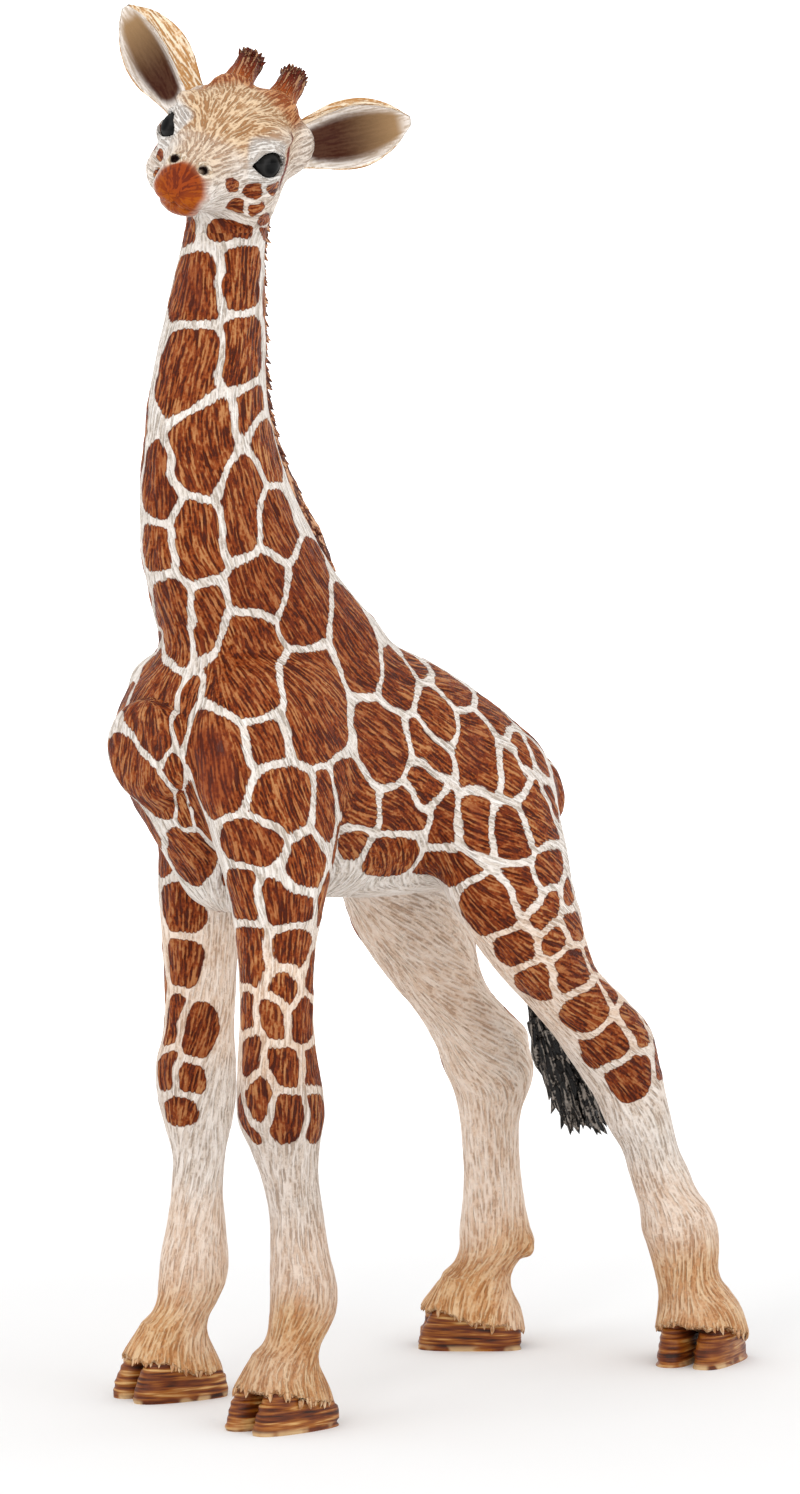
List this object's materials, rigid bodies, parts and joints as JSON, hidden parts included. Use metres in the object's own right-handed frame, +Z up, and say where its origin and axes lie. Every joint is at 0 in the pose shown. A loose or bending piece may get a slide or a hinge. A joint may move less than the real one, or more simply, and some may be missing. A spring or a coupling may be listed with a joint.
{
  "type": "toy wild animal figure",
  "caption": "Giraffe calf toy figure standing in mid-step with its head turned to its left, moulded and painted plastic, resting flat on its hooves.",
  "frame": {"origin": "on the ground under the middle of the figure's bounding box", "axes": "+Z up, the animal's trunk faces -Y, its left side is towards +X"},
  "size_m": [0.0266, 0.0612, 0.1153],
  "materials": {
    "coat": "moulded PVC, russet patches painted over a cream ground, fine hair grooves",
    "leg": "moulded PVC, cream paint that warms to orange-beige above the hooves",
    "face": "moulded PVC, cream and tan paint with fine hair grooves",
    "ear": "moulded PVC, cream paint with a brown shaded hollow",
    "horn": "moulded PVC, dark red-brown paint, tufted tips",
    "mane": "moulded PVC, red-brown paint over clumped hair",
    "hoof": "moulded PVC, dark brown paint with paler streaks",
    "tuft": "moulded PVC, black paint brushed with grey",
    "eye": "gloss black varnish"
  },
  "bodies": {
    "root": {"trunk": "coat", "neck": "coat", "mane": "mane", "head": "face", "ear_left": "ear", "ear_right": "ear", "ossicone_left": "horn", "ossicone_right": "horn", "eye_left": "eye", "eye_right": "eye", "leg_front_left": "leg", "leg_front_right": "leg", "leg_hind_left": "leg", "leg_hind_right": "leg", "hoof_front_left": "hoof", "hoof_front_right": "hoof", "hoof_hind_left": "hoof", "hoof_hind_right": "hoof", "tail_stem": "coat", "tail_tuft": "tuft"}
  },
  "joints": []
}
